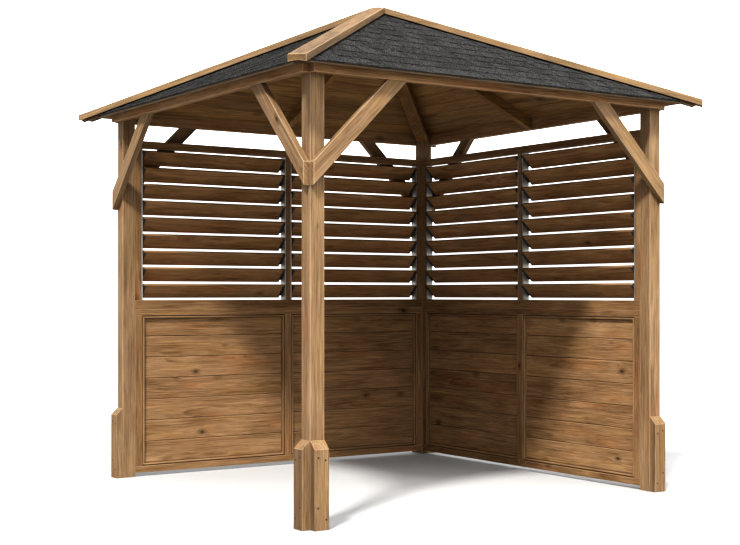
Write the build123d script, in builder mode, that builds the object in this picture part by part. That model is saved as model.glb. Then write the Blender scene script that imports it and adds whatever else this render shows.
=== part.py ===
from build123d import *
import math
import os

# A square garden gazebo in softwood, +Z up, with its origin on the ground under the middle.
# Front is -Y and left is -X: both are open. Back is +Y and right is +X: both carry a wall.
# All lengths are in millimetres.

# Plan and posts
post_spacing = 2500.0
post_width = 90.0
post_arris = 4.0

# Plinth blocks around the foot of each post
plinth_thickness = 48.0
plinth_height = 475.0
plinth_bevel = 45.0
plinth_chamfer = 7.0

# Beams along the eaves, outside the posts
beam_underside = 2430.0
beam_thickness = 45.0

# Knee braces
brace_thickness = 40.0
brace_width = 90.0
brace_reach = 600.0
brace_drop = 600.0

# Roof
roof_pitch = 24.4
roof_overhang = 60.0
soffit_above_beam = 30.0
deck_thickness = 18.0
shingle_thickness = 8.0
shingle_lip = 8.0
eave_trim_thickness = 14.0
hip_rafter_width = 90.0
mid_rafter_width = 45.0
rafter_depth = 70.0
king_block_width = 180.0
king_block_height = 135.0
hip_cap_width = 100.0
hip_cap_thickness = 32.0
hip_cap_reach = 83.0
hip_block_width = 70.0
hip_block_reach = 57.0
hip_block_bevel = 21.0

# Walls: a boarded frame below and a louvred frame above
wall_depth = 58.0
wall_setback = 2.0
wall_ground_gap = 26.0
panel_frame_top = 1151.0
vent_gap = 122.0
stile_width = 55.0
panel_rail_height = 45.0
louvre_foot_rail_height = 61.0
louvre_head_rail_height = 50.0
panel_thickness = 18.0
bead_width = 22.0
bead_depth = 17.0
blade_width = 125.0
blade_thickness = 16.0
blade_angle = 45.0
blade_pitch = 115.0
blade_top_gap = 12.0
blade_proud = 13.0
track_thickness = 12.0
track_depth = 54.0

# Gap between plinth blocks at a corner, and between the two frames of a wall
fit_gap = 1.0

# Worked-out sizes
half_spacing = post_spacing / 2
post_inner = half_spacing - post_width / 2
post_outer = half_spacing + post_width / 2
beam_outer = post_outer + beam_thickness
eave_half = beam_outer + roof_overhang
slope = math.tan(math.radians(roof_pitch))
hip_slope = slope / math.sqrt(2)
hip_angle = math.degrees(math.atan(hip_slope))
soffit_eave = beam_underside + soffit_above_beam
deck_rise = deck_thickness / math.cos(math.radians(roof_pitch))
shingle_rise = shingle_thickness / math.cos(math.radians(roof_pitch))
hip_cap_rise = hip_cap_thickness / math.cos(math.radians(hip_angle))
deck_reach = eave_half - eave_trim_thickness
shingle_reach = eave_half + shingle_lip
wall_inner = post_inner + wall_setback
blade_inner = wall_inner - blade_proud
wall_outer = wall_inner + wall_depth
wall_middle = (wall_inner + wall_outer) / 2
frame_half = post_inner
bay_width = frame_half - 1.5 * stile_width
bay_middle = (frame_half - stile_width / 2) / 2
panel_sill = wall_ground_gap + panel_rail_height
panel_head = panel_frame_top - panel_rail_height
louvre_frame_foot = panel_frame_top + fit_gap
louvre_frame_top = beam_underside - vent_gap
louvre_sill = louvre_frame_foot + louvre_foot_rail_height
louvre_head = louvre_frame_top - louvre_head_rail_height

# Each side is turned about Z from the front, and each corner from the front left.
# A hip stands at corner_angle to the sides beside it, seen from above.
corner_angle = 45.0
side_turn = {"front": 0.0, "right": 90.0, "back": 180.0, "left": 270.0}
corner_turn = {"front_left": 0.0, "front_right": 90.0, "back_right": 180.0, "back_left": 270.0}
walled_sides = ["back", "right"]


def soffit_at(distance):
    """Height of the deck's underside at a distance from the middle."""
    return soffit_eave + (eave_half - distance) * slope


def along(turn):
    angle = math.radians(turn)
    return Vector(math.cos(angle), math.sin(angle), 0)


def outward(turn):
    angle = math.radians(turn)
    return Vector(math.sin(angle), -math.cos(angle), 0)


def elevation(turn, distance):
    """Plane of one side seen from outside: x runs along it, y is up."""
    return Plane(origin=outward(turn) * distance, x_dir=along(turn), z_dir=outward(turn))


def section(turn, place):
    """Upright plane across one side: x points outward, y is up."""
    return Plane(origin=along(turn) * place, x_dir=outward(turn), z_dir=-along(turn))


def hip_length(distance):
    """Length along a hip, in plan, out to a distance from the middle."""
    return distance * math.sqrt(2)


def cap_underside_at(distance):
    """Height of the hip line on top of the shingles."""
    return soffit_at(distance) + deck_rise + shingle_rise


def save(name, part):
    part.label = name
    export_step(part, f"parts/{name}.step")


os.makedirs("parts", exist_ok=True)


# Posts, with eased arrises
def make_post(turn):
    with BuildPart() as post:
        with BuildSketch():
            with Locations((outward(turn) - along(turn)) * half_spacing):
                Rectangle(post_width, post_width)
        extrude(amount=soffit_at(post_outer))
        chamfer(post.edges().filter_by(Axis.Z), post_arris)
    return post.part


# Two plinth blocks on the outer faces of a post, bevelled on top, just clear of each other
def make_plinth(turn):
    with BuildPart() as plinth:
        for side, place in ((turn, -post_inner), (turn - 90, post_outer - fit_gap)):
            with BuildSketch(section(side, place)):
                with BuildLine():
                    Polyline(
                        (post_outer, 0),
                        (post_outer + plinth_thickness, 0),
                        (post_outer + plinth_thickness, plinth_height - plinth_bevel),
                        (post_outer + plinth_thickness - plinth_bevel, plinth_height),
                        (post_outer, plinth_height),
                        close=True,
                    )
                make_face()
            extrude(amount=post_width - fit_gap)
        corner = (outward(turn) - along(turn)) * half_spacing
        outer_edges = plinth.edges().filter_by(Axis.Z).sort_by_distance(corner)[-4:]
        chamfer(outer_edges, plinth_chamfer)
    return plinth.part


# A board outside the posts that carries the eave, its top cut to the roof's slope
def make_eave_beam(turn):
    with BuildPart() as beam:
        with BuildSketch(section(turn, 0)):
            with BuildLine():
                Polyline(
                    (post_outer, beam_underside),
                    (beam_outer, beam_underside),
                    (beam_outer, soffit_at(beam_outer)),
                    (post_outer, soffit_at(post_outer)),
                    close=True,
                )
            make_face()
        extrude(amount=post_outer, both=True)
    return beam.part


# Two knee braces on one side, cut upright at the posts and level under the beam
def make_braces(turn):
    lean = math.atan2(brace_drop, brace_reach)
    end_cut = brace_width / math.cos(lean)
    top_cut = brace_width / math.sin(lean)
    foot = beam_underside - brace_drop
    with BuildPart() as braces:
        with BuildSketch(elevation(turn, post_outer)):
            with BuildLine():
                Polyline(
                    (-post_outer, foot),
                    (-post_outer, foot + end_cut),
                    (-post_outer + brace_reach - top_cut, beam_underside),
                    (-post_outer + brace_reach, beam_underside),
                    close=True,
                )
            make_face()
            mirror(about=Plane.YZ)
        extrude(amount=brace_thickness)
    return braces.part


# A layer of one side of the roof, mitred at the hips, lift above the deck's underside
def make_roof_layer(turn, start, reach, lift, thickness):
    with BuildPart() as layer:
        with BuildSketch(section(turn, 0)):
            with BuildLine():
                Polyline(
                    (start, soffit_at(start) + lift),
                    (reach, soffit_at(reach) + lift),
                    (reach, soffit_at(reach) + lift + thickness),
                    (start, soffit_at(start) + lift + thickness),
                    close=True,
                )
            make_face()
        extrude(amount=reach, both=True)
        split(bisect_by=Plane(origin=(0, 0, 0), z_dir=along(turn - corner_angle)), keep=Keep.TOP)
        split(bisect_by=Plane(origin=(0, 0, 0), z_dir=along(turn + corner_angle)), keep=Keep.BOTTOM)
    return layer.part


# A board over one hip, mitred against the other three at the top
def make_hip_cap(turn):
    with BuildPart() as cap:
        with BuildSketch(section(turn - corner_angle, 0)):
            with BuildLine():
                Polyline(
                    (0, cap_underside_at(0)),
                    (hip_length(eave_half + hip_cap_reach), cap_underside_at(eave_half + hip_cap_reach)),
                    (
                        hip_length(eave_half + hip_cap_reach),
                        cap_underside_at(eave_half + hip_cap_reach) + hip_cap_rise,
                    ),
                    (0, cap_underside_at(0) + hip_cap_rise),
                    close=True,
                )
            make_face()
        extrude(amount=hip_cap_width / 2, both=True)
        split(bisect_by=Plane(origin=(0, 0, 0), z_dir=along(turn)), keep=Keep.BOTTOM)
        split(bisect_by=Plane(origin=(0, 0, 0), z_dir=outward(turn)), keep=Keep.TOP)
    return cap.part


# A block under the end of each hip cap, outside the roof's corner
def make_hip_blocks():
    tip = eave_half + hip_block_reach
    with BuildPart() as blocks:
        for turn in corner_turn.values():
            with BuildSketch(section(turn - corner_angle, 0)):
                with BuildLine():
                    Polyline(
                        (hip_length(post_outer), soffit_at(post_outer)),
                        (hip_length(tip - hip_block_bevel), soffit_at(tip - hip_block_bevel)),
                        (hip_length(tip), soffit_at(tip) + hip_block_bevel),
                        (hip_length(tip), cap_underside_at(tip)),
                        (hip_length(post_outer), cap_underside_at(post_outer)),
                        close=True,
                    )
                make_face()
            extrude(amount=hip_block_width / 2, both=True)
        with Locations((0, 0, beam_underside)):
            Box(
                2 * shingle_reach,
                2 * shingle_reach,
                2 * cap_underside_at(0),
                mode=Mode.SUBTRACT,
            )
    return blocks.part


# Hip rafters, from the king block to the posts, notched over the corner of both
def make_hip_rafters():
    ease = hip_rafter_width / 2 * hip_slope
    depth = rafter_depth / math.cos(math.radians(hip_angle))
    reach = hip_length(post_inner) + hip_rafter_width / 2
    with BuildPart() as rafters:
        for turn in corner_turn.values():
            with BuildSketch(section(turn - corner_angle, 0)):
                with BuildLine():
                    Polyline(
                        (0, soffit_at(0) - ease),
                        (reach, soffit_at(reach / math.sqrt(2)) - ease),
                        (reach, soffit_at(reach / math.sqrt(2)) - ease - depth),
                        (0, soffit_at(0) - ease - depth),
                        close=True,
                    )
                make_face()
            extrude(amount=hip_rafter_width / 2, both=True)
        with GridLocations(post_spacing, post_spacing, 2, 2):
            Box(post_width, post_width, 2 * soffit_at(0), mode=Mode.SUBTRACT)
        with Locations((0, 0, beam_underside)):
            Box(king_block_width, king_block_width, 2 * soffit_at(0), mode=Mode.SUBTRACT)
    return rafters.part


# A rafter up the middle of each side, from the eave beam to the king block
def make_mid_rafters():
    depth = rafter_depth / math.cos(math.radians(roof_pitch))
    king_face = king_block_width / 2
    with BuildPart() as rafters:
        for turn in side_turn.values():
            with BuildSketch(section(turn, 0)):
                with BuildLine():
                    Polyline(
                        (king_face, soffit_at(king_face)),
                        (post_outer, soffit_at(post_outer)),
                        (post_outer, soffit_at(post_outer) - depth),
                        (king_face, soffit_at(king_face) - depth),
                        close=True,
                    )
                make_face()
            extrude(amount=mid_rafter_width / 2, both=True)
    return rafters.part


# The block where all the rafters meet
def make_king_block():
    top = soffit_at(king_block_width / 2)
    with BuildPart() as block:
        with BuildSketch(Plane.XY.offset(top - king_block_height)):
            Rectangle(king_block_width, king_block_width)
        extrude(amount=king_block_height)
        chamfer(block.faces().sort_by(Axis.Z)[0].edges(), post_arris)
    return block.part


# The rails of both frames in a wall
def make_wall_rails(turn):
    with BuildPart() as rails:
        with BuildSketch(elevation(turn, wall_inner)):
            for foot, height in (
                (wall_ground_gap, panel_rail_height),
                (panel_head, panel_rail_height),
                (louvre_frame_foot, louvre_foot_rail_height),
                (louvre_head, louvre_head_rail_height),
            ):
                with Locations((0, foot + height / 2)):
                    Rectangle(2 * frame_half, height)
        extrude(amount=wall_depth)
    return rails.part


# The stiles of both frames in a wall: two at the posts and one in the middle
def make_wall_stiles(turn):
    with BuildPart() as stiles:
        with BuildSketch(elevation(turn, wall_inner)):
            for foot, head in ((panel_sill, panel_head), (louvre_sill, louvre_head)):
                with Locations((0, (foot + head) / 2)):
                    with GridLocations(frame_half - stile_width / 2, 1, 3, 1):
                        Rectangle(stile_width, head - foot)
        extrude(amount=wall_depth)
    return stiles.part


# The boarded panels in the lower frame
def make_wall_panels(turn):
    with BuildPart() as panels:
        with BuildSketch(elevation(turn, wall_middle - panel_thickness / 2)):
            with Locations((0, (panel_sill + panel_head) / 2)):
                with GridLocations(2 * bay_middle, 1, 2, 1):
                    Rectangle(bay_width, panel_head - panel_sill)
        extrude(amount=panel_thickness)
    return panels.part


# Beads that hold the panels, inside and outside
def make_wall_beads(turn):
    with BuildPart() as beads:
        for face, depth in (
            (wall_middle - panel_thickness / 2, -bead_depth),
            (wall_middle + panel_thickness / 2, bead_depth),
        ):
            with BuildSketch(elevation(turn, face)):
                with Locations((0, (panel_sill + panel_head) / 2)):
                    with GridLocations(2 * bay_middle, 1, 2, 1):
                        Rectangle(bay_width, panel_head - panel_sill)
                        Rectangle(
                            bay_width - 2 * bead_width,
                            panel_head - panel_sill - 2 * bead_width,
                            mode=Mode.SUBTRACT,
                        )
            extrude(amount=depth)
    return beads.part


# The tracks that hold the louvre blades' ends
def make_louvre_tracks(turn):
    with BuildPart() as tracks:
        with BuildSketch(elevation(turn, wall_middle - track_depth / 2)):
            with Locations((0, (louvre_sill + louvre_head) / 2)):
                with GridLocations(2 * bay_middle, 1, 2, 1):
                    with GridLocations(bay_width - track_thickness, 1, 2, 1):
                        Rectangle(track_thickness, louvre_head - louvre_sill)
        extrude(amount=track_depth)
    return tracks.part


# Louvre blades, fixed, with the upper edge inside and the lower edge outside
def make_louvre_blades(turn):
    lean = math.radians(blade_angle)
    rise = blade_width * math.sin(lean) + blade_thickness * math.cos(lean)
    run = blade_width * math.cos(lean) + blade_thickness * math.sin(lean)
    count = int((louvre_head - louvre_sill - blade_top_gap - rise) // blade_pitch) + 1
    half_length = bay_width / 2 - track_thickness
    middle_height = louvre_head - blade_top_gap - rise / 2
    with BuildPart() as blades:
        for bay in (-bay_middle, bay_middle):
            with BuildSketch(section(turn, bay)):
                for step in range(count):
                    with Locations((blade_inner + run / 2, middle_height - step * blade_pitch)):
                        Rectangle(blade_width, blade_thickness, rotation=-blade_angle)
            extrude(amount=half_length, both=True)
    return blades.part


for name, turn in corner_turn.items():
    save(f"post_{name}", make_post(turn))
    save(f"plinth_{name}", make_plinth(turn))
    save(f"hip_cap_{name}", make_hip_cap(turn))

for name, turn in side_turn.items():
    save(f"eave_beam_{name}", make_eave_beam(turn))
    save(f"braces_{name}", make_braces(turn))
    save(f"roof_deck_{name}", make_roof_layer(turn, 0, deck_reach, 0, deck_rise))
    save(f"shingles_{name}", make_roof_layer(turn, 0, shingle_reach, deck_rise, shingle_rise))
    save(f"eave_trim_{name}", make_roof_layer(turn, deck_reach, eave_half, 0, deck_rise))

save("hip_blocks", make_hip_blocks())
save("hip_rafters", make_hip_rafters())
save("mid_rafters", make_mid_rafters())
save("king_block", make_king_block())

for name in walled_sides:
    turn = side_turn[name]
    save(f"wall_rails_{name}", make_wall_rails(turn))
    save(f"wall_stiles_{name}", make_wall_stiles(turn))
    save(f"wall_panels_{name}", make_wall_panels(turn))
    save(f"wall_beads_{name}", make_wall_beads(turn))
    save(f"louvre_tracks_{name}", make_louvre_tracks(turn))
    save(f"louvre_blades_{name}", make_louvre_blades(turn))
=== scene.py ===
import math
import random

import bmesh
import bpy
from mathutils import Matrix, Vector


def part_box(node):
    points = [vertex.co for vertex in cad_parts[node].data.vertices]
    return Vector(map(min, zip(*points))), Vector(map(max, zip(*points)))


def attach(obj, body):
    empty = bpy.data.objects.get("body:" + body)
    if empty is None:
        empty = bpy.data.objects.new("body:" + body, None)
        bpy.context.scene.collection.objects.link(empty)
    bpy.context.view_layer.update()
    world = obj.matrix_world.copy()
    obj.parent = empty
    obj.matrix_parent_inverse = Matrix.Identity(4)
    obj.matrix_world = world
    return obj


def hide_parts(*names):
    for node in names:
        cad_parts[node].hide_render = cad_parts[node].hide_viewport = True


# The looks of a square garden gazebo, in metres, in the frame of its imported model.
# Front is -Y and left is -X: both are open. Back is +Y and right is +X: both carry a wall.

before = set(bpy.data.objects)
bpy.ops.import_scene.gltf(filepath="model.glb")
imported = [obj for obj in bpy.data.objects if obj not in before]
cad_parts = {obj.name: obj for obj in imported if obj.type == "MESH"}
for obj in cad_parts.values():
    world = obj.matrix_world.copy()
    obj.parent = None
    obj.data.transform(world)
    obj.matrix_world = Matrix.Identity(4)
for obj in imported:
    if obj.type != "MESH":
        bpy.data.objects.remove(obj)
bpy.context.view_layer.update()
random.seed(24)

UP = Vector((0, 0, 1))

# Sides and corners, each by its turn from the front in degrees
side_turn = {"front": 0, "right": 90, "back": 180, "left": 270}
corner_turn = {"front_left": 0, "front_right": 90, "back_right": 180, "back_left": 270}
walled_sides = ("back", "right")

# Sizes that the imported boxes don't give
brace_width = 0.090
plinth_bevel = 0.045
cap_width = 0.100
cap_seat = 0.008
hip_block_width = 0.070
hip_block_bevel = 0.021
hip_rafter_width = 0.090
mid_rafter_width = 0.045
trim_chamfer = 0.008
bead_width = 0.022
blade_width = 0.125
blade_thickness = 0.016
blade_lean = math.radians(45)
blade_count = 9
fit_gap = 0.001

# Eased arrises: how round they are, the least angle in radians of an edge that is eased, and
# the radii
ease_roundness = 0.6
least_edge_angle = 0.05
timber_ease = 0.004
plinth_ease = 0.0055
deck_ease = 0.0035
trim_ease = 0.002
cap_ease = 0.0035
rafter_ease = 0.003
king_ease = 0.005
frame_ease = 0.003
wall_board_ease = 0.0038
track_ease = 0.0004
blade_ease = 0.0025
clip_ease = 0.002

# Boards and joints that only this file draws
soffit_board = 0.120
soffit_joint = 0.0004
wall_board = 0.145
frame_joint = 0.0002

# Shingles: long ones in courses, and teeth of varied width and length over them
underlay_thickness = 0.0020
course_exposure = 0.145
course_overlap = 0.040
shingle_length = 0.95
shingle_joint = 0.002
shingle_butt = 0.0042
shingle_tip = 0.0006
narrowest_shingle = 0.003
tooth_butt = 0.0014
tooth_taper = 0.003
tooth_lip = 0.001
tooth_seat = 0.98  # share of the layers below it
tooth_length = (0.90, 1.0)  # shares of a course
tooth_width = (0.05, 0.13)
tooth_gap = (0.03, 0.11)
first_tooth = 0.1

# Distances from the roof's middle: the nearest at which a board or course may start, and where
# the upper edges stop
last_soffit_board = 0.03
last_course = 0.05
soffit_peak = 0.006
course_peak = 0.01
underlay_peak = 0.004
cap_peak = 0.0002

# Screws of a plinth block: share of the block's width, and height above the ground
plinth_screws = ((0.26, 0.387), (0.76, 0.372), (0.24, 0.120), (0.80, 0.057))
screw_radius = 0.0054
screw_sides = 16
screw_height = 0.0006
screw_recess = 0.0009
screw_rim_share = 0.22
screw_floor_share = 0.40

# Louvre channels, let into the stiles, and the clips on the blades' ends
metal_gauge = 0.002
flange_width = 0.007
flange_groove = 0.003
rebate_depth = 1.5 * metal_gauge
clip_wall = 0.004
clip_inset = 0.004
clip_grip = 0.010
clip_short = 0.026

# Wear and painted light of faces, from -1, dark, for the joints of boards and painted shade,
# to 1, pale, for arrises worn pale with a painted highlight
# Dark for the joints of boards, and for painted shade in the stiles' recesses and by the beads
dark_joint_and_shade = -1.0
# The up-facing rims of board joints are painted paler, as a highlight
painted_joint_rim_highlight = 0.5
# Pale arrises: worn stain, and a painted highlight where light catches the edge
pale_arris_and_highlight = 1.0
end_grain_wear = -0.35
# Painted light: the hip boards' side faces are made paler
painted_cap_side_light = 0.4
# Painted shade on the blades' long edge faces
painted_blade_edge_shade = -0.8
# Painted shade on the front plinths' block faces that look left
painted_plinth_face_shade = {"front_left": -0.55, "front_right": -0.3, "back_right": 0.0, "back_left": 0.0}

# Least cosine between a face's normal and a way for it to be a joint's rim, a cut end or a
# face that looks that way
rim_cosine = 0.3
end_cosine = 0.8
facing_cosine = 0.9

# Tone of timbers, from 0, dark, to 1, light; the others draw their own. The posts' tones
# # are given per post, and the back-right post's lowest one is painted shade, as it stands in
# # the shaded back corner
plinth_tone = 0.3
post_tone_and_shade = {"front_left": 0.4, "front_right": 0.75, "back_right": 0.0, "back_left": 0.7}
blade_tone = {"back": 0.4, "right": 0.0}
blade_tone_spread = 0.45
blade_tone_step = 0.62

# Where a timber was cut from its log: along it, and two ways from the pith
log_along = (-20, 20)
log_sideways = (-0.06, 0.06)
log_out = (0.02, 0.10)

# Relief that the materials' bump shows
wood_relief = 0.0006
shingle_relief = 0.0015
fine_relief = 0.0002

# Studio floor, with its shade and how much that varies
floor_half = 60
floor_shade = 0.243
floor_mottle = 0.01

# Sun: strength, the way it shines, its apparent width in degrees and its colour
sun_strength = 2.2
sun_way = (1.0, 0.77, -1.5)
sun_width = 7.5
sun_colour = (1.0, 0.975, 0.94)

# Soft light: its low and high part on each side, and the heights, as sines, where it grows out
# of the white horizon and where the low part turns into the high one
light_left = (0.3, 0.9)
light_front = (0.7, 5.8)
light_right = (2.5, 1.0)
light_back = (2.5, 2.2)
light_horizon = (0.05, 0.14)
light_turnover = (0.10, 0.55)

# Camera: place in metres, heading in radians, sensor and lens in millimetres, shift in widths
# of the picture
camera_place = (-4.980, -7.524, 1.2536)
camera_heading = -0.602
camera_sensor = 36
camera_lens = 66.22054
camera_shift = (-0.043784, 0.029189)

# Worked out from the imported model
post_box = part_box("post_front_right")
beam_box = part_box("eave_beam_front")
trim_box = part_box("eave_trim_front")
deck_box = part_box("roof_deck_front")
shingle_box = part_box("shingles_front")
cap_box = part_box("hip_cap_front_left")
post_inner, post_outer = post_box[0].x, post_box[1].x
beam_outer = -beam_box[0].y
beam_underside = beam_box[0].z
eave_half = -trim_box[0].y
deck_reach = -deck_box[0].y
shingle_reach = -shingle_box[0].y
deck_height = deck_box[1].z - deck_box[0].z
trim_height = trim_box[1].z - trim_box[0].z
slope = (deck_height - trim_height) / (2 * deck_reach - eave_half)
pitch = math.atan(slope)
hip_slope = slope / math.sqrt(2)


def soffit_at(distance):
    """Height of the deck's underside at a distance from the middle."""
    return trim_box[0].z + (eave_half - distance) * slope


deck_rise = deck_box[1].z - soffit_at(0)
shingle_rise = shingle_box[1].z - deck_box[1].z
cap_rise = cap_box[1].z - shingle_box[1].z
cap_reach = -cap_box[0].x - cap_width / 2 / math.sqrt(2)


def along(turn):
    """The way along one side, from left to right as seen from outside."""
    angle = math.radians(turn)
    return Vector((math.cos(angle), math.sin(angle), 0))


def outward(turn):
    """The way out of one side."""
    angle = math.radians(turn)
    return Vector((math.sin(angle), -math.cos(angle), 0))


def at(turn, place, distance, height):
    """A point of one side: place along it, distance from the middle, height above the ground."""
    return along(turn) * place + outward(turn) * distance + UP * height


def outlines_at(turn, places, outline):
    """An outline of distances and heights, repeated at each of the places along a side."""
    return [[at(turn, place, d, h) for d, h in outline] for place in places]


def box_on_side(turn, node):
    """A node's lowest and highest place, distance and height on its side."""
    low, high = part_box(node)
    corners = [Vector((x, y, 0)) for x in (low.x, high.x) for y in (low.y, high.y)]
    places = [corner.dot(along(turn)) for corner in corners]
    distances = [corner.dot(outward(turn)) for corner in corners]
    return (min(places), max(places)), (min(distances), max(distances)), (low.z, high.z)


class Piece:
    """One object, made of solids that each have a tone and their grain's own coordinates."""

    def __init__(self, name):
        self.name = name
        self.points = []
        self.faces = []
        self.grain = []
        self.wear_and_painted_light = []
        self.tone = []

    def add(self, part, way, across, wear_and_light, tone=None):
        """Takes a bmesh in, with its grain along way and a place in the log of its own. The given
        dict holds the faces that are marked, with their wear and painted shade and light."""
        first = len(self.points)
        part.verts.index_update()
        part.faces.index_update()
        middle = sum((vert.co for vert in part.verts), Vector()) / len(part.verts)
        a, b = way.normalized(), across.normalized()
        c = a.cross(b)
        place = Vector([random.uniform(*span) for span in (log_along, log_sideways, log_out)])
        drawn = random.random()
        tone = drawn if tone is None else tone
        for vert in part.verts:
            step = vert.co - middle
            self.points.append(vert.co.copy())
            self.grain.append(Vector((step.dot(a), step.dot(b), step.dot(c))) + place)
        for face in part.faces:
            self.faces.append([first + vert.index for vert in face.verts])
            self.wear_and_painted_light.append(wear_and_light.get(face, 0.0))
            self.tone.append(tone)
        part.free()

    def solid(
        self, *loops, way, across, ease, segments=2, joint=None, sides=(), facing=(), tone=None
    ):
        """A solid through loops of corners, with its grain along way. Its eased edges are worn pale
        with a painted highlight or, where joint is given, are the dark joints of boards, except
        where they face along it and are painted paler as a highlight. The sides of a solid without
        ease, in the order of the corners, may have a mark of their own, wear, painted shade or
        painted light, and
        so may the faces that look one way: facing holds pairs of a way and its mark."""
        part = bmesh.new()
        rings = [[part.verts.new(point) for point in loop] for loop in loops]
        part.faces.new(rings[0])
        part.faces.new(rings[-1])
        for first, last in zip(rings, rings[1:]):
            for i in range(len(first)):
                part.faces.new((first[i - 1], first[i], last[i], last[i - 1]))
        bmesh.ops.recalc_face_normals(part, faces=part.faces[:])
        wear_and_light = dict(zip(part.faces[:][2:], sides))
        if ease:
            sharp = [edge for edge in part.edges if edge.calc_face_angle() > least_edge_angle]
            made = bmesh.ops.bevel(
                part,
                geom=sharp,
                offset=ease,
                segments=segments,
                profile=ease_roundness,
                affect="EDGES",
                clamp_overlap=True,
            )
            wear_and_light = dict.fromkeys(made["faces"], pale_arris_and_highlight)
            if joint:
                for face in wear_and_light:
                    rim = face.normal.dot(joint) > rim_cosine
                    wear_and_light[face] = painted_joint_rim_highlight if rim else dark_joint_and_shade
        part.normal_update()
        for face in part.faces:
            if abs(face.normal.dot(way.normalized())) > end_cosine:
                wear_and_light.setdefault(face, end_grain_wear)
            for look, value in facing:
                if face.normal.dot(look) > facing_cosine:
                    wear_and_light.setdefault(face, value)
        self.add(part, way, across, wear_and_light, tone)

    def finish(self, material, slot, *nodes):
        mesh = bpy.data.meshes.new(self.name)
        mesh.from_pydata(self.points, [], self.faces)
        mesh.attributes.new("grain", "FLOAT_VECTOR", "POINT")
        mesh.attributes.new("wear_and_painted_light", "FLOAT", "FACE")
        mesh.attributes.new("tone", "FLOAT", "FACE")
        flat = [value for point in self.grain for value in point]
        mesh.attributes["grain"].data.foreach_set("vector", flat)
        mesh.attributes["wear_and_painted_light"].data.foreach_set("value", self.wear_and_painted_light)
        mesh.attributes["tone"].data.foreach_set("value", self.tone)
        mesh.materials.append(material)
        mesh.validate()
        piece = bpy.data.objects.new(self.name, mesh)
        bpy.context.scene.collection.objects.link(piece)
        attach(piece, "root")
        if nodes:
            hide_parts(*nodes)


def beam_between(piece, turn, places, distances, heights, way, across, **eased):
    """A square-cut solid on one side, between two places, distances and heights."""
    (d0, d1), (h0, h1) = distances, heights
    outline = [(d0, h0), (d1, h0), (d1, h1), (d0, h1)]
    piece.solid(*outlines_at(turn, places, outline), way=way, across=across, **eased)


# Materials
class Graph:
    """The node tree of a material or a world, with short calls for the nodes used here."""

    def __init__(self, owner):
        self.owner = owner
        owner.use_nodes = True
        self.tree = owner.node_tree
        self.tree.nodes.clear()

    def put(self, socket, value):
        """Links a socket to another, or sets its constant."""
        if isinstance(value, bpy.types.NodeSocket):
            self.tree.links.new(value, socket)
        else:
            socket.default_value = value

    def node(self, kind, inputs=(), **settings):
        made = self.tree.nodes.new("ShaderNode" + kind)
        for name, value in settings.items():
            setattr(made, name, value)
        for name, value in dict(inputs).items():
            self.put(made.inputs[name], value)
        return made

    def attribute(self, name, output="Fac"):
        return self.node("Attribute", attribute_name=name).outputs[output]

    def math(self, operation, a, b=0.0, c=0.0):
        made = self.node("Math", operation=operation)
        for socket, value in zip(made.inputs, (a, b, c)):
            self.put(socket, value)
        return made.outputs[0]

    def vector(self, operation, a, b=(0, 0, 0)):
        made = self.node("VectorMath", operation=operation)
        self.put(made.inputs[0], a)
        self.put(made.inputs[1], b)
        return made.outputs["Value"] if operation == "LENGTH" else made.outputs["Vector"]

    def remap(self, value, low, high, to_low=0.0, to_high=1.0, smooth=False):
        made = self.node("MapRange", interpolation_type="SMOOTHSTEP" if smooth else "LINEAR")
        for name, given in (
            ("Value", value),
            ("From Min", low),
            ("From Max", high),
            ("To Min", to_low),
            ("To Max", to_high),
        ):
            self.put(made.inputs[name], given)
        return made.outputs["Result"]

    def noise(self, vector, scale, detail=3.0, roughness=0.5):
        inputs = {"Vector": vector, "Scale": scale, "Detail": detail, "Roughness": roughness}
        return self.node("TexNoise", inputs).outputs["Fac"]

    def long_noise(self, grain, along, across, detail=3.0, roughness=0.5):
        """Noise drawn out along the grain: its scale along it and across it."""
        scaled = self.vector("MULTIPLY", grain, (along, across, across))
        return self.noise(scaled, 1.0, detail, roughness)

    def centred(self, value, strength, base):
        """base, plus strength times how far a noise is from its middle."""
        return self.math("MULTIPLY_ADD", self.math("SUBTRACT", value, 0.5), strength, base)

    def mix(self, factor, a, b, blend="MIX"):
        """A mix of two colours, each a socket or its red, green and blue."""
        made = self.node("Mix", data_type="RGBA", blend_type=blend)
        self.put(made.inputs[0], factor)
        for i, colour in ((6, a), (7, b)):
            self.put(made.inputs[i], (*colour, 1) if isinstance(colour, tuple) else colour)
        return made.outputs[2]

    def ramp(self, factor, *stops):
        made = self.node("ValToRGB", {"Fac": factor})
        band = made.color_ramp
        while len(band.elements) < len(stops):
            band.elements.new(1.0)
        for element, (position, colour) in zip(band.elements, stops):
            element.position = position
            element.color = (*colour, 1.0)
        return made.outputs["Color"]

    def bump(self, height, distance, strength):
        made = self.node("Bump", {"Height": height, "Distance": distance, "Strength": strength})
        return made.outputs["Normal"]

    def finish(self, constants=(), **inputs):
        """A surface. Constants go by the inputs' own names, the rest with _ for a space."""
        shader = self.node("BsdfPrincipled", constants)
        for name, value in inputs.items():
            self.put(shader.inputs[name.replace("_", " ")], value)
        output = self.node("OutputMaterial")
        self.tree.links.new(shader.outputs[0], output.inputs["Surface"])
        return self.owner


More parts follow.
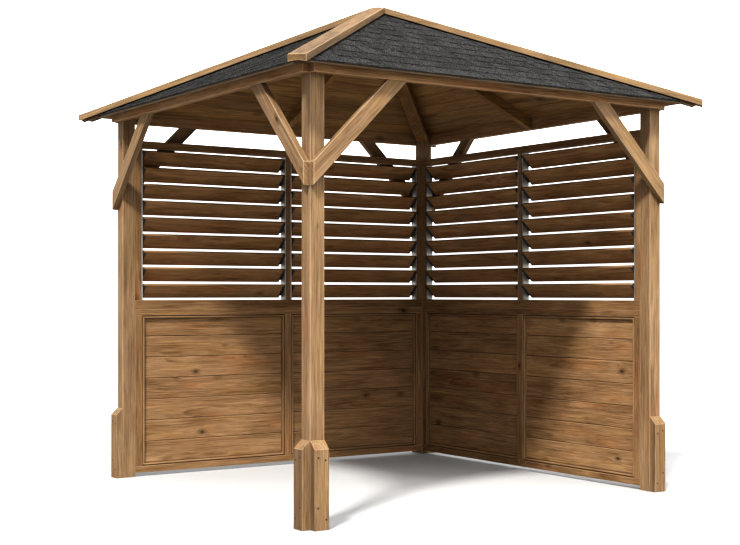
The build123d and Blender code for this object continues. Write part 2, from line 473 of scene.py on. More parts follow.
def wood(name, dark, light, knots=0.5, depth=1.0, edge=0.3, joint=0.75):
    """Stained softwood: growth rings that bend round knots, streaks, arrises worn pale with a
    painted highlight, dark joints, and faces darkened as painted shade. knots is the share of cells
    that hold one, depth how strong the figure is, and edge and joint how much the pale arrises, and
    the dark joints and painted shade, stand out."""
    g = Graph(bpy.data.materials.new(name))
    grain = g.attribute("grain", "Vector")
    tone = g.attribute("tone")
    wear_and_painted_light = g.attribute("wear_and_painted_light")

    # Knots sit in cells stretched along the board, and only some cells hold one
    cells_along, cells_across = 3.0, 7.5
    knot_stretch = 0.55
    largest_knot = 0.016
    swirl_reach = 0.050
    cells = g.vector("MULTIPLY", grain, (cells_along, cells_across, cells_across))
    voronoi = g.node("TexVoronoi", {"Vector": cells, "Scale": 1.0, "Randomness": 0.9})
    away = g.vector("SUBTRACT", cells, voronoi.outputs["Position"])
    in_metres = (knot_stretch / cells_along, 1 / cells_across, 1 / cells_across)
    away = g.vector("LENGTH", g.vector("MULTIPLY", away, in_metres))
    luck = g.node("SeparateColor", {"Color": voronoi.outputs["Color"]}).outputs[0]
    size = g.remap(luck, 1.0 - knots, 1.0, 0.0, largest_knot)
    wobble = g.noise(grain, 90.0, detail=2.0)
    rim_at = g.math("MULTIPLY", size, g.remap(wobble, 0.0, 1.0, 0.75, 1.35))
    knot = g.remap(away, rim_at, g.math("MULTIPLY", rim_at, 0.5), smooth=True)
    rim = g.remap(away, g.math("MULTIPLY", rim_at, 2.6), rim_at, smooth=True)
    swirl = g.remap(away, swirl_reach, 0.0, smooth=True)
    swirl = g.math("MULTIPLY", swirl, g.remap(size, 0.002, 0.009))

    # Growth rings round the pith, which wander along the board and bend past the knots
    rings_per_metre = 95.0
    x, y, z = g.node("SeparateXYZ", {"Vector": grain}).outputs
    drift = g.long_noise(grain, 0.9, 3.0, detail=2.0)
    wave = g.long_noise(grain, 4.0, 20.0)
    radius = g.math("SQRT", g.math("MULTIPLY_ADD", y, y, g.math("MULTIPLY", z, z)))
    for bend, metres in ((drift, 0.085), (wave, 0.012), (swirl, 0.014)):
        radius = g.math("MULTIPLY_ADD", bend, metres, radius)
    ring = g.math("FRACT", g.math("MULTIPLY", radius, rings_per_metre))
    ring = g.math("MULTIPLY", g.math("POWER", ring, 2.0), g.remap(ring, 1.0, 0.92))
    round_pith = g.node(
        "CombineXYZ",
        {"X": g.math("MULTIPLY", x, 1.8), "Y": g.math("MULTIPLY", radius, 80.0)},
    )
    bands = g.noise(round_pith.outputs[0], 1.0, detail=4.0, roughness=0.66)
    streaks = g.long_noise(grain, 3.0, 150.0, roughness=0.7)
    fibres = g.long_noise(grain, 9.0, 290.0, detail=2.0, roughness=0.6)
    blotch = g.long_noise(grain, 3.0, 12.0, roughness=0.55)

    # The figure runs from the dark stain to the light one, and is tinted in patches
    figure = g.math("MULTIPLY_ADD", ring, -0.28 * depth, g.remap(bands, 0.30, 0.70, 0.22, 0.90))
    figure = g.centred(blotch, 1.1 * depth, figure)
    figure = g.centred(streaks, 1.3 * depth, figure)
    figure = g.centred(fibres, 1.5, figure)
    figure = g.math("ADD", figure, g.remap(tone, 0.0, 1.0, -0.16 * depth, 0.16 * depth))
    colour = g.mix(g.remap(figure, -0.1, 1.1), dark, light)
    tint = g.long_noise(grain, 1.6, 9.0, roughness=0.55)
    reddish = g.mix(1.0, colour, (1.03, 0.88, 0.76), "MULTIPLY")
    golden = g.mix(1.0, colour, (1.03, 1.01, 0.88), "MULTIPLY")
    colour = g.mix(g.remap(tint, 0.52, 0.70, 0.0, 0.8, smooth=True), colour, reddish)
    colour = g.mix(g.remap(tint, 0.48, 0.34, 0.0, 0.8, smooth=True), colour, golden)

    # Knots; arrises worn pale with a painted highlight; dark joints, and faces given painted shade
    around = tuple(0.55 * value for value in dark)
    core = tuple(0.45 * value for value in dark)
    pale = tuple(value**0.75 for value in light)
    colour = g.mix(g.math("MULTIPLY", rim, 0.5), colour, around)
    colour = g.mix(knot, colour, core)
    colour = g.mix(g.remap(wear_and_painted_light, 0.0, pale_arris_and_highlight, 0.0, edge), colour, pale)
    colour = g.mix(g.remap(wear_and_painted_light, 0.0, dark_joint_and_shade, 0.0, joint), colour, around)

    height = g.math("MULTIPLY_ADD", ring, -0.5, g.math("MULTIPLY", fibres, 0.7))
    height = g.math("MULTIPLY_ADD", knot, 0.8, height)
    return g.finish(
        {"Specular IOR Level": 0.1},
        Base_Color=colour,
        Roughness=g.remap(figure, 0.0, 1.0, 0.62, 0.78),
        Normal=g.bump(height, wood_relief, 0.8),
    )


def shingle_material():
    """Mineral-faced bitumen: fine granules, mottled, each shingle a little lighter or darker."""
    g = Graph(bpy.data.materials.new("mineral_shingle"))
    grain = g.attribute("grain", "Vector")
    tone = g.attribute("tone")
    wear_and_painted_light = g.attribute("wear_and_painted_light")
    grit = g.noise(grain, 620.0, detail=2.0, roughness=0.7)
    speck = g.long_noise(grain, 120.0, 200.0, roughness=0.6)
    mottle = g.long_noise(grain, 34.0, 70.0, roughness=0.6)
    shade = g.centred(grit, 0.8, 0.5)
    shade = g.centred(speck, 3.4, shade)
    shade = g.centred(mottle, 0.5, shade)
    shade = g.math("ADD", shade, g.remap(tone, 0.0, 1.0, -0.07, 0.07))
    colour = g.ramp(
        shade,
        (0.0, (0.003, 0.003, 0.003)),
        (0.5, (0.0175, 0.0175, 0.0175)),
        (1.0, (0.063, 0.063, 0.061)),
    )
    # A dark band below each course's butt, broken up along the course: printed in the granules,
    #     # and also painted shade under the butt
    z = g.node("SeparateXYZ", {"Vector": g.node("TexCoord").outputs["Object"]}).outputs[2]
    start = soffit_at(shingle_reach) + deck_rise + underlay_thickness + tooth_butt
    course_rise = course_exposure * math.sin(pitch)
    up = g.math("FRACT", g.math("DIVIDE", g.math("SUBTRACT", z, start), course_rise))
    broken = g.long_noise(grain, 7.0, 2.0, roughness=0.6)
    band = g.math(
        "MULTIPLY",
        g.remap(up, 0.86, 0.95, smooth=True),
        g.remap(broken, 0.42, 0.56, 0.1, 0.65, smooth=True),
    )
    colour = g.mix(band, colour, (0.004, 0.004, 0.004))
    colour = g.mix(g.remap(wear_and_painted_light, 0.0, dark_joint_and_shade, 0.0, 0.8), colour, (0.002, 0.002, 0.002))
    return g.finish(
        {"Specular IOR Level": 0.0},
        Base_Color=colour,
        Roughness=g.remap(speck, 0.3, 0.7, 0.80, 0.97),
        Normal=g.bump(g.math("MULTIPLY_ADD", grit, 0.6, speck), shingle_relief, 0.9),
    )


def metal(name, colour, roughness):
    """Drawn lengthways, a little dulled in patches."""
    g = Graph(bpy.data.materials.new(name))
    grain = g.attribute("grain", "Vector")
    drawn = g.long_noise(grain, 3.0, 700.0, roughness=0.6)
    dull = g.noise(grain, 14.0)
    low = tuple(0.72 * value for value in colour)
    return g.finish(
        {"Metallic": 1.0},
        Base_Color=g.mix(g.remap(dull, 0.3, 0.75), colour, low),
        Roughness=g.remap(drawn, 0.2, 0.8, roughness - 0.08, roughness + 0.12),
        Normal=g.bump(drawn, fine_relief, 0.5),
    )


def moulded(name, colour, shine=0.5):
    """A dark coat or nylon with a fine matt grain."""
    g = Graph(bpy.data.materials.new(name))
    grain = g.attribute("grain", "Vector")
    pits = g.noise(grain, 900.0, detail=2.0)
    scuff = g.noise(grain, 40.0)
    pale = tuple(1.8 * value for value in colour)
    return g.finish(
        {"Specular IOR Level": shine},
        Base_Color=g.mix(g.remap(scuff, 0.4, 0.8), colour, pale),
        Roughness=g.remap(pits, 0.3, 0.7, 0.45, 0.65),
        Normal=g.bump(pits, fine_relief, 0.6),
    )


post_wood = wood(
    "post_softwood",
    (0.068, 0.040, 0.020),
    (0.184, 0.125, 0.074),
    knots=0.6,
    depth=0.8,
)
beam_wood = wood("beam_softwood", (0.092, 0.049, 0.023), (0.255, 0.159, 0.084), knots=0.4)
cap_wood = wood(
    "cap_softwood",
    (0.044, 0.025, 0.012),
    (0.170, 0.111, 0.058),
    knots=0.25,
    depth=1.2,
    edge=0.45,
)
# Painted shade: the hip blocks, under the boards' ends, are coloured dark
hip_block_shaded_wood = wood("hip_block_painted_shade", (0.020, 0.012, 0.006), (0.070, 0.044, 0.024), knots=0.2)
trim_wood = wood("trim_softwood", (0.047, 0.033, 0.020), (0.133, 0.100, 0.068), knots=0.2)
deck_wood = wood("soffit_softwood", (0.071, 0.039, 0.016), (0.214, 0.130, 0.056), joint=0.25)
rafter_wood = wood("rafter_softwood", (0.065, 0.034, 0.012), (0.194, 0.111, 0.043), knots=0.35)
frame_wood = wood("frame_softwood", (0.069, 0.037, 0.017), (0.185, 0.117, 0.062), knots=0.4)
panel_wood = wood(
    "panel_softwood",
    (0.073, 0.041, 0.018),
    (0.208, 0.131, 0.072),
    knots=0.85,
    joint=1.0,
)
blade_wood = wood(
    "blade_softwood",
    (0.096, 0.052, 0.022),
    (0.262, 0.159, 0.082),
    knots=0.45,
    edge=0.15,
)
shingle_finish = shingle_material()
track_finish = metal("track_aluminium", (0.42, 0.41, 0.39), 0.42)
screw_finish = moulded("coated_screw", (0.026, 0.013, 0.007), shine=0.05)
clip_finish = moulded("clip_nylon", (0.012, 0.012, 0.013))


# Posts
def make_post(name):
    low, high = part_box(f"post_{name}")
    near = [
        Vector((low.x, low.y, low.z)),
        Vector((high.x, low.y, low.z)),
        Vector((high.x, high.y, low.z)),
        Vector((low.x, high.y, low.z)),
    ]
    far = [point + UP * (high.z - low.z) for point in near]
    post = Piece(f"post_{name}_timber")
    tone = post_tone_and_shade[name]
    post.solid(near, far, way=UP, across=along(0), ease=timber_ease, segments=3, tone=tone)
    post.finish(post_wood, "post_wood", f"post_{name}")


# Plinth blocks, with the screws that hold them
def make_plinth(name, turn):
    low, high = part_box(f"plinth_{name}")
    thickness = max(abs(low.x), abs(high.x)) - post_outer
    height = high.z
    blocks = Piece(f"plinth_{name}_blocks")
    screws = Piece(f"plinth_{name}_screws")
    width = post_outer - post_inner - fit_gap
    outline = [
        (post_outer, 0),
        (post_outer + thickness, 0),
        (post_outer + thickness, height - plinth_bevel),
        (post_outer + thickness - plinth_bevel, height),
        (post_outer, height),
    ]
    for side, start in ((turn, -post_outer + fit_gap), (turn - 90, post_inner)):
        blocks.solid(
            *outlines_at(side, (start, start + width), outline),
            way=UP,
            across=along(side),
            ease=plinth_ease,
            tone=plinth_tone,
            # Painted shade on the faces that look left
            facing=((-along(0), painted_plinth_face_shade[name]),),
        )
        for share, up in plinth_screws:
            place = start + width * (share if side == turn else 1 - share)
            add_screw(screws, at(side, place, post_outer + thickness, up), outward(side))
    blocks.finish(post_wood, "post_wood", f"plinth_{name}")
    screws.finish(screw_finish, "post_wood")


def add_screw(piece, middle, way):
    """A countersunk head, almost flush, with a round recess."""
    part = bmesh.new()
    bmesh.ops.create_circle(part, cap_ends=True, radius=screw_radius, segments=screw_sides)
    face = part.faces[:][0]
    if face.normal.z < 0:
        face.normal_flip()
    rim_width, floor_width = screw_radius * screw_rim_share, screw_radius * screw_floor_share
    rim = bmesh.ops.inset_region(part, faces=[face], thickness=rim_width, depth=screw_height)
    bmesh.ops.inset_region(part, faces=[face], thickness=floor_width, depth=-screw_recess)
    facing = way.to_track_quat("Z", "Y").to_matrix().to_4x4()
    placed = Matrix.Translation(middle + way * screw_height) @ facing
    bmesh.ops.transform(part, matrix=placed, verts=part.verts[:])
    piece.add(part, UP, way.cross(UP), dict.fromkeys(rim["faces"], pale_arris_and_highlight))


# Beams along the eaves
def make_beam(name, turn):
    outline = [
        (post_outer, beam_underside),
        (beam_outer, beam_underside),
        (beam_outer, soffit_at(beam_outer)),
        (post_outer, soffit_at(post_outer)),
    ]
    ends = outlines_at(turn, (-post_outer, post_outer), outline)
    beam = Piece(f"eave_beam_{name}_timber")
    beam.solid(*ends, way=along(turn), across=UP, ease=timber_ease, segments=3)
    beam.finish(beam_wood, "beam_wood", f"eave_beam_{name}")


# Knee braces, cut upright at the posts and level under the beam
def make_braces(name, turn):
    (_, end), distances, (foot, head) = box_on_side(turn, f"braces_{name}")
    cut = brace_width * math.sqrt(2)
    inner_end = end - (head - foot)
    outline = [(end, foot), (end, foot + cut), (inner_end + cut, head), (inner_end, head)]
    braces = Piece(f"braces_{name}_timber")
    for side in (-1, 1):
        near, far = ([at(turn, side * p, d, h) for p, h in outline] for d in distances)
        lean = along(turn) * -side + UP
        across = along(turn) * side + UP
        braces.solid(near, far, way=lean, across=across, ease=timber_ease, segments=3)
    braces.finish(post_wood, "beam_wood", f"braces_{name}")


# Roof: boarded deck, trim at the eave and courses of shingles
def roof_point(turn, share, distance, lift):
    """A point of one slope: share of the way from its middle to a hip, -1 to 1, distance from
    the roof's middle, and lift over the soffit."""
    return at(turn, share * distance, distance, soffit_at(distance) + lift)


def from_hip_to_hip(turn, outline):
    """The two ends of a board or course: an outline of distances and lifts, at each hip."""
    return [[roof_point(turn, share, d, lift) for d, lift in outline] for share in (-1, 1)]


def up_slope(turn):
    """The way up one slope of the roof."""
    return (UP * slope - outward(turn)).normalized()


def make_deck(name, turn):
    deck = Piece(f"roof_deck_{name}_boards")
    step = soffit_board * math.cos(pitch)
    outer = deck_reach
    while outer > last_soffit_board:
        lower, upper = outer - soffit_joint, max(outer - step, soffit_peak)
        outline = [(lower, 0), (lower, deck_rise), (upper, deck_rise), (upper, 0)]
        deck.solid(
            *from_hip_to_hip(turn, outline),
            way=along(turn),
            across=up_slope(turn),
            ease=deck_ease,
            segments=1,
            joint=UP,
        )
        outer -= step
    deck.finish(deck_wood, "deck_wood", f"roof_deck_{name}")


def make_eave_trim(name, turn):
    outline = [
        (deck_reach, 0),
        (eave_half - trim_chamfer, 0),
        (eave_half, trim_chamfer),
        (eave_half, deck_rise),
        (deck_reach, deck_rise),
    ]
    trim = Piece(f"eave_trim_{name}_strip")
    trim.solid(*from_hip_to_hip(turn, outline), way=along(turn), across=UP, ease=trim_ease)
    trim.finish(trim_wood, "cap_wood", f"eave_trim_{name}")


def add_shingle(piece, turn, lower, upper, start, end, lift, butt, taper=0.0):
    """One shingle or tooth, thick at its lower edge, kept between the hips."""
    loops = []
    for distance, thick, inset in ((lower, butt, 0.0), (upper, shingle_tip, taper)):
        left = max(start + inset, -distance)
        right = min(end - inset, distance)
        if right - left < narrowest_shingle:
            if distance == lower:
                return
            half = narrowest_shingle / 2
            middle = max(min((left + right) / 2, distance - half), -distance + half)
            left, right = middle - half, middle + half
        height = soffit_at(distance) + deck_rise + lift
        top = height + thick
        corners = ((left, height), (right, height), (right, top), (left, top))
        loops.append([at(turn, place, distance, h) for place, h in corners])
    piece.solid(*loops, way=along(turn), across=up_slope(turn), ease=0)


def make_shingles(name, turn):
    low, high = deck_rise, deck_rise + underlay_thickness
    outer, inner = shingle_reach, underlay_peak
    underlay = from_hip_to_hip(turn, [(outer, low), (outer, high), (inner, high), (inner, low)])
    courses = Piece(f"shingles_{name}_courses")
    courses.solid(*underlay, way=along(turn), across=up_slope(turn), ease=0)
    step = course_exposure * math.cos(pitch)
    cover = (course_exposure + course_overlap) * math.cos(pitch)
    lower = shingle_reach
    while lower > last_course:
        upper = max(lower - cover, course_peak)
        lift = underlay_thickness
        start = -lower - random.uniform(0, shingle_length)
        while start < lower:
            end = start + shingle_length
            right = end - shingle_joint
            add_shingle(courses, turn, lower, upper, start, right, lift, shingle_butt)
            start = end
        lift = (underlay_thickness + shingle_butt) * tooth_seat
        start = -lower - random.uniform(0, first_tooth)
        while start < lower:
            end = start + random.uniform(*tooth_width)
            top = max(lower - step * random.uniform(*tooth_length), course_peak)
            lip = lower + tooth_lip
            add_shingle(courses, turn, lip, top, start, end, lift, tooth_butt, tooth_taper)
            start = end + random.uniform(*tooth_gap)
        lower -= step
    courses.finish(shingle_finish, "shingle", f"shingles_{name}")


# Boards over the hips and blocks under their ends
def hip_point(turn, distance, offset, height):
    """A point by one hip: distance from the middle as its sides have it, offset across it."""
    return at(turn - 45, offset, distance * math.sqrt(2), height)


def cap_underside_at(distance, offset=0.0):
    """The boards are hollowed below, so that their edges sit nearer to the shingles."""
    hollow = cap_seat * abs(offset) / (cap_width / 2)
    return soffit_at(distance) + deck_rise + shingle_rise - hollow


def make_hip_cap(name, turn):
    half = cap_width / 2
    loops = []
    for offset in (-half, 0, half):
        inner = max(abs(offset) / math.sqrt(2), cap_peak)
        profile = [
            (inner, cap_underside_at(inner, offset)),
            (cap_reach, cap_underside_at(cap_reach, offset)),
            (cap_reach, cap_underside_at(cap_reach) + cap_rise),
            (inner, cap_underside_at(inner) + cap_rise),
        ]
        loops.append([hip_point(turn, d, offset, h) for d, h in profile])
    cap = Piece(f"hip_cap_{name}_board")
    way = (outward(turn - 45) - UP * hip_slope).normalized()
    side = along(turn - 45)
    # The boards' sides are painted paler, as light falling on them
    facing = ((side, painted_cap_side_light), (-side, painted_cap_side_light))
    cap.solid(*loops, way=way, across=side, ease=cap_ease, facing=facing)
    cap.finish(cap_wood, "cap_wood", f"hip_cap_{name}")


def make_hip_blocks():
    """Blocks under the boards' ends, notched over the corners of the roof. Their dark colour is
    painted shade.
    """
    half = hip_block_width / 2
    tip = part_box("hip_blocks")[1].x - half / math.sqrt(2)
    blocks = Piece("hip_blocks_timber")
    for turn in corner_turn.values():
        loops = []
        for offset in (-half, 0, half):
            root = shingle_reach - abs(offset) / math.sqrt(2)
            profile = [
                (root, soffit_at(root)),
                (tip - hip_block_bevel, soffit_at(tip - hip_block_bevel)),
                (tip, soffit_at(tip) + hip_block_bevel),
                (tip, cap_underside_at(tip, offset)),
                (root, cap_underside_at(root, offset)),
            ]
            loops.append([hip_point(turn, d, offset, h) for d, h in profile])
        blocks.solid(*loops, way=outward(turn - 45), across=UP, ease=rafter_ease)
    blocks.finish(hip_block_shaded_wood, "cap_wood", "hip_blocks")


# Rafters and the block where they meet
def make_hip_rafters():
    half = hip_rafter_width / 2
    shoulder = half / math.sqrt(2)
    king_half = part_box("king_block")[1].x
    top_drop = half * hip_slope
    foot = post_inner + shoulder
    depth = soffit_at(foot) - top_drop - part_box("hip_rafters")[0].z
    outline = [
        (king_half, 0.0),
        (king_half + shoulder, half),
        (foot, half),
        (post_inner, 0.0),
        (foot, -half),
        (king_half + shoulder, -half),
    ]
    rafters = Piece("hip_rafters_timber")
    for turn in corner_turn.values():
        upper = [hip_point(turn, d, offset, soffit_at(d) - top_drop) for d, offset in outline]
        lower = [point - UP * depth for point in upper]
        way = outward(turn - 45) - UP * hip_slope
        rafters.solid(lower, upper, way=way, across=UP, ease=rafter_ease)
    rafters.finish(rafter_wood, "rafter_wood", "hip_rafters")


def make_mid_rafters():
    king_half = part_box("king_block")[1].x
    depth = soffit_at(post_outer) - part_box("mid_rafters")[0].z
    outline = [
        (king_half, soffit_at(king_half)),
        (post_outer, soffit_at(post_outer)),
        (post_outer, soffit_at(post_outer) - depth),
        (king_half, soffit_at(king_half) - depth),
    ]
    places = (-mid_rafter_width / 2, mid_rafter_width / 2)
    rafters = Piece("mid_rafters_timber")
    for turn in side_turn.values():
        ends = outlines_at(turn, places, outline)
        rafters.solid(*ends, way=up_slope(turn), across=UP, ease=rafter_ease)
    rafters.finish(rafter_wood, "rafter_wood", "mid_rafters")


def make_king_block():
    low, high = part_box("king_block")
    places, distances, heights = (low.x, high.x), (-high.y, -low.y), (low.z, high.z)
    block = Piece("king_block_timber")
    beam_between(block, 0, places, distances, heights, UP, along(0), ease=king_ease)
    block.finish(rafter_wood, "rafter_wood", "king_block")


# Walls
def bays(turn, name):
    """The clear places between the stiles of a wall's two bays, the stiles' width, and the
    panels' distances and heights."""
    (start, end), distances, (low, high) = box_on_side(turn, f"wall_panels_{name}")
    (rail_start, _), _, _ = box_on_side(turn, f"wall_rails_{name}")
    stile = start - rail_start
    middle = (start + end) / 2
    return ((start, middle - stile / 2), (middle + stile / 2, end)), stile, distances, (low, high)


def make_rails_and_stiles(name, turn):
    _, stile, _, (panel_sill, panel_head) = bays(turn, name)
    wall, distances, (foot, top) = box_on_side(turn, f"wall_rails_{name}")
    _, _, (louvre_sill, louvre_head) = box_on_side(turn, f"louvre_tracks_{name}")
    panel_top = panel_head + (panel_sill - foot)
    rails = Piece(f"wall_rails_{name}_timber")
    for heights in (
        (foot, panel_sill),
        (panel_head, panel_top),
        (panel_top + frame_joint, louvre_sill),
        (louvre_head, top),
    ):
        beam_between(rails, turn, wall, distances, heights, along(turn), UP, ease=frame_ease)
    rails.finish(frame_wood, "frame_wood", f"wall_rails_{name}")
    stiles = Piece(f"wall_stiles_{name}_timber")
    start, end = wall
    middle = (start + end) / 2
    for places in (
        (start, start + stile),
        (middle - stile / 2, middle + stile / 2),
        (end - stile, end),
    ):
        heights = (panel_sill, panel_head)
        beam_between(stiles, turn, places, distances, heights, UP, along(turn), ease=frame_ease)
        heights = (louvre_sill, louvre_head)
        add_rebated_stile(stiles, turn, places, distances, heights, wall)
    stiles.finish(frame_wood, "frame_wood", f"wall_stiles_{name}")


def add_rebated_stile(piece, turn, places, distances, heights, wall):
    """A stile let in on both faces for the channels' flanges. Its faces but the two broad ones
    are painted dark as shade, so the recess beside each flange shows as a dark line.
    """
    (p0, p1), (d0, d1) = places, distances
    rebate = flange_width + flange_groove
    deep0, deep1 = d0 + rebate_depth, d1 - rebate_depth
    left = p0 + (rebate if p0 > wall[0] + fit_gap else 0.0)
    right = p1 - (rebate if p1 < wall[1] - fit_gap else 0.0)
    outline = [(left, d0), (right, d0)]
    if right < p1:
        outline += [(right, deep0), (p1, deep0), (p1, deep1), (right, deep1)]
    outline += [(right, d1), (left, d1)]
    if left > p0:
        outline += [(left, deep1), (p0, deep1), (p0, deep0), (left, deep0)]
    before = outline[-1:] + outline[:-1]
    # Painted shade: every side but the two broad faces is darkened
    sides = [
        0 if a[1] == b[1] and a[1] in distances else dark_joint_and_shade for a, b in zip(before, outline)
    ]
    near, far = ([at(turn, p, d, h) for p, d in outline] for h in heights)
    piece.solid(near, far, way=UP, across=along(turn), ease=0, sides=sides)


def make_panels(name, turn):
    openings, _, distances, (sill, head) = bays(turn, name)
    eased = {"ease": wall_board_ease, "segments": 1, "joint": UP}
    panels = Piece(f"wall_panels_{name}_boards")
    for places in openings:
        top = head
        while top > sill + fit_gap:
            foot = max(top - wall_board, sill)
            beam_between(panels, turn, places, distances, (foot, top), along(turn), UP, **eased)
            top = foot
    panels.finish(panel_wood, "panel_wood", f"wall_panels_{name}")


def make_beads(name, turn):
    """Moulded beads round each panel, inside and outside, mitred at the corners."""
    openings, _, panel, (sill, head) = bays(turn, name)
    _, (inner, outer), _ = box_on_side(turn, f"wall_beads_{name}")
    beads = Piece(f"wall_beads_{name}_moulding")
    # Shares of the bead's width and of its height over the panel, and each side's mark: the slope
    #     by the panel and the side and quirk by the stile painted dark as shade, the flat painted
    #     paler as a highlight, and its arrises worn pale with a painted highlight
    profile = [
        (0, 0),
        (1, 0),
        (1, 0.26),
        (0.82, 0.36),
        (0.78, 0.88),
        (0.70, 1.0),
        (0.36, 1.0),
        (0.27, 0.88),
        (0.25, 0.36),
        (0, 0.36),
    ]
    sides = (0, 0, 0, -0.8, 0, pale_arris_and_highlight, 0.35, pale_arris_and_highlight, -0.5, dark_joint_and_shade)
    for start, end in openings:
        corners = [(start, sill), (end, sill), (end, head), (start, head)]
        inward = [(1, 1), (-1, 1), (-1, -1), (1, -1)]
        for face, lip in ((panel[0], inner), (panel[1], outer)):
            mitres = []
            for (p, h), (ip, ih) in zip(corners, inward):
                mitre = []
                for a, b in profile:
                    place, height = p + ip * bead_width * a, h + ih * bead_width * a
                    mitre.append(at(turn, place, face + (lip - face) * b, height))
                mitres.append(mitre)
            for i in range(4):
                way, across = (UP, along(turn)) if i in (0, 2) else (along(turn), UP)
                ends = mitres[i - 1], mitres[i]
                beads.solid(*ends, way=way, across=across, ease=0, sides=sides)
    beads.finish(frame_wood, "frame_wood", f"wall_beads_{name}")


def make_tracks(name, turn):
    """Thin channels that hold the blades' ends, with flanges let into the stiles' faces."""
    openings, _, _, _ = bays(turn, name)
    _, (inner, outer), _ = box_on_side(turn, f"wall_rails_{name}")
    _, _, heights = box_on_side(turn, f"louvre_tracks_{name}")
    inner, outer = inner + metal_gauge / 2, outer - metal_gauge / 2
    tracks = Piece(f"louvre_tracks_{name}_channels")
    for start, end in openings:
        for edge, way in ((start, 1), (end, -1)):
            web = sorted((edge, edge + way * metal_gauge))
            flange = sorted((edge - way * flange_width, edge + way * metal_gauge))
            inside, outside = (inner, inner + metal_gauge), (outer - metal_gauge, outer)
            for places, span in ((web, (inner, outer)), (flange, inside), (flange, outside)):
                beam_between(tracks, turn, places, span, heights, UP, along(turn), ease=track_ease)
    tracks.finish(track_finish, "track_metal", f"louvre_tracks_{name}")


def make_blades(name, turn):
    """Fixed blades, the upper edge inside and the lower edge outside, in clips at both ends."""
    openings, _, _, _ = bays(turn, name)
    (blade_start, _), (inner, outer), (low, high) = box_on_side(turn, f"louvre_blades_{name}")
    gap = blade_start - openings[0][0]
    c, s = math.cos(blade_lean), math.sin(blade_lean)
    rise = blade_width * s + blade_thickness * c
    step = (high - low - rise) / (blade_count - 1)
    middle = (inner + outer) / 2
    half = blade_width / 2
    fall = outward(turn) * c - UP * s
    # The blades' long edge faces are darkened as painted shade
    facing = ((fall, painted_blade_edge_shade), (-fall, painted_blade_edge_shade))
    blades = Piece(f"louvre_blades_{name}_timber")
    clips = Piece(f"louvre_clips_{name}")

    def sections(places, height, upper, lower, thickness):
        """A leaning section at two places, between two distances along the blade's width."""
        t = thickness / 2
        corners = ((upper, -t), (lower, -t), (lower, t), (upper, t))
        outline = [(middle + a * c + b * s, height - a * s + b * c) for a, b in corners]
        return outlines_at(turn, places, outline)

    for start, end in openings:
        for i in range(blade_count):
            height = high - rise / 2 - i * step
            blade_ends = (start + gap, end - gap)
            blades.solid(
                *sections(blade_ends, height, -half, half, blade_thickness),
                way=along(turn),
                across=fall,
                ease=blade_ease,
                segments=3,
                facing=facing,
                tone=blade_tone[name] + blade_tone_spread * (blade_tone_step * i % 1.0),
            )
            for edge, inward in ((start + metal_gauge, 1), (end - metal_gauge, -1)):
                clip_ends = (edge, edge + inward * (gap - metal_gauge + clip_grip))
                top, foot = clip_inset - half, half - clip_short
                thickness = blade_thickness + 2 * clip_wall
                ends = sections(clip_ends, height, top, foot, thickness)
                clips.solid(*ends, way=fall, across=along(turn), ease=clip_ease)
    blades.finish(blade_wood, "louvre_wood", f"louvre_blades_{name}")
    clips.finish(clip_finish, "track_metal")


for corner, turn in corner_turn.items():
    make_post(corner)
    make_plinth(corner, turn)
    make_hip_cap(corner, turn)
for side, turn in side_turn.items():
    make_beam(side, turn)
    make_braces(side, turn)
    make_deck(side, turn)
    make_eave_trim(side, turn)
    make_shingles(side, turn)
make_hip_blocks()
make_hip_rafters()
make_mid_rafters()
make_king_block()
for side in walled_sides:
    turn = side_turn[side]
    make_rails_and_stiles(side, turn)
    make_panels(side, turn)
    make_beads(side, turn)
    make_tracks(side, turn)
    make_blades(side, turn)


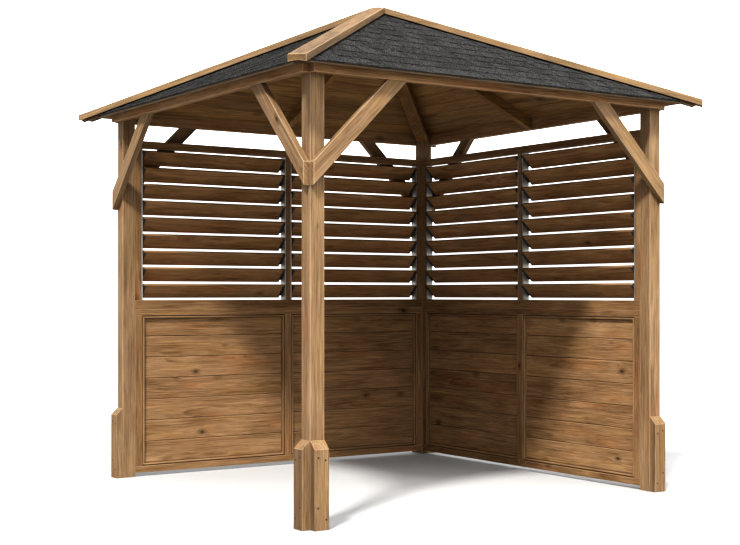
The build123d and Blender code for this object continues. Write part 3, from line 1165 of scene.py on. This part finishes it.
# Floor, light and camera
def make_floor():
    part = bmesh.new()
    bmesh.ops.create_grid(part, x_segments=2, y_segments=2, size=floor_half)
    mesh = bpy.data.meshes.new("floor")
    part.to_mesh(mesh)
    part.free()
    g = Graph(bpy.data.materials.new("studio_floor"))
    spot = g.node("TexCoord").outputs["Object"]
    patch = g.noise(spot, 1.5)
    pale, paler = ((floor_shade + change,) * 3 for change in (-floor_mottle, floor_mottle))
    mesh.materials.append(g.finish(Base_Color=g.mix(patch, pale, paler), Roughness=0.9))
    floor = bpy.data.objects.new("floor", mesh)
    bpy.context.scene.collection.objects.link(floor)


def make_light():
    """A soft box all round, with its own strength on each side, low and high, and a sun."""
    world = bpy.data.worlds.new("studio")
    bpy.context.scene.world = world
    g = Graph(world)
    way = g.node("TexCoord").outputs["Generated"]
    x, y, z = g.node("SeparateXYZ", {"Vector": way}).outputs
    level = g.math("SQRT", g.math("MULTIPLY_ADD", x, x, g.math("MULTIPLY", y, y)))
    height = g.remap(z, *light_turnover, smooth=True)
    total = 0.0
    for axis, sign, low, high in (
        (x, -1, *light_left),
        (y, -1, *light_front),
        (x, 1, *light_right),
        (y, 1, *light_back),
    ):
        share = g.math("MAXIMUM", g.math("MULTIPLY", g.math("DIVIDE", axis, level), sign), 0.0)
        share = g.math("MULTIPLY", share, share)
        total = g.math("MULTIPLY_ADD", share, g.remap(height, 0.0, 1.0, low, high), total)
    total = g.remap(g.remap(z, *light_horizon, smooth=True), 0.0, 1.0, 1.0, total)
    background = g.node("Background", {"Color": (1.0, 1.0, 1.0, 1), "Strength": total})
    g.tree.links.new(background.outputs[0], g.node("OutputWorld").inputs["Surface"])
    sun = bpy.data.lights.new("sun", "SUN")
    sun.energy = math.pi * sun_strength
    sun.angle = math.radians(sun_width)
    sun.color = sun_colour
    lamp = bpy.data.objects.new("sun", sun)
    lamp.rotation_mode = "QUATERNION"
    lamp.rotation_quaternion = Vector(sun_way).to_track_quat("-Z", "Y")
    bpy.context.scene.collection.objects.link(lamp)


def make_camera():
    camera = bpy.data.cameras.new("camera")
    camera.sensor_width = camera_sensor
    camera.lens = camera_lens
    camera.shift_x, camera.shift_y = camera_shift
    holder = bpy.data.objects.new("camera", camera)
    holder.location = camera_place
    holder.rotation_euler = (math.radians(90), 0, camera_heading)
    bpy.context.scene.collection.objects.link(holder)
    bpy.context.scene.camera = holder


make_floor()
make_light()
make_camera()
bpy.context.scene.view_settings.view_transform = "Standard"
bpy.context.scene.view_settings.look = "High Contrast"
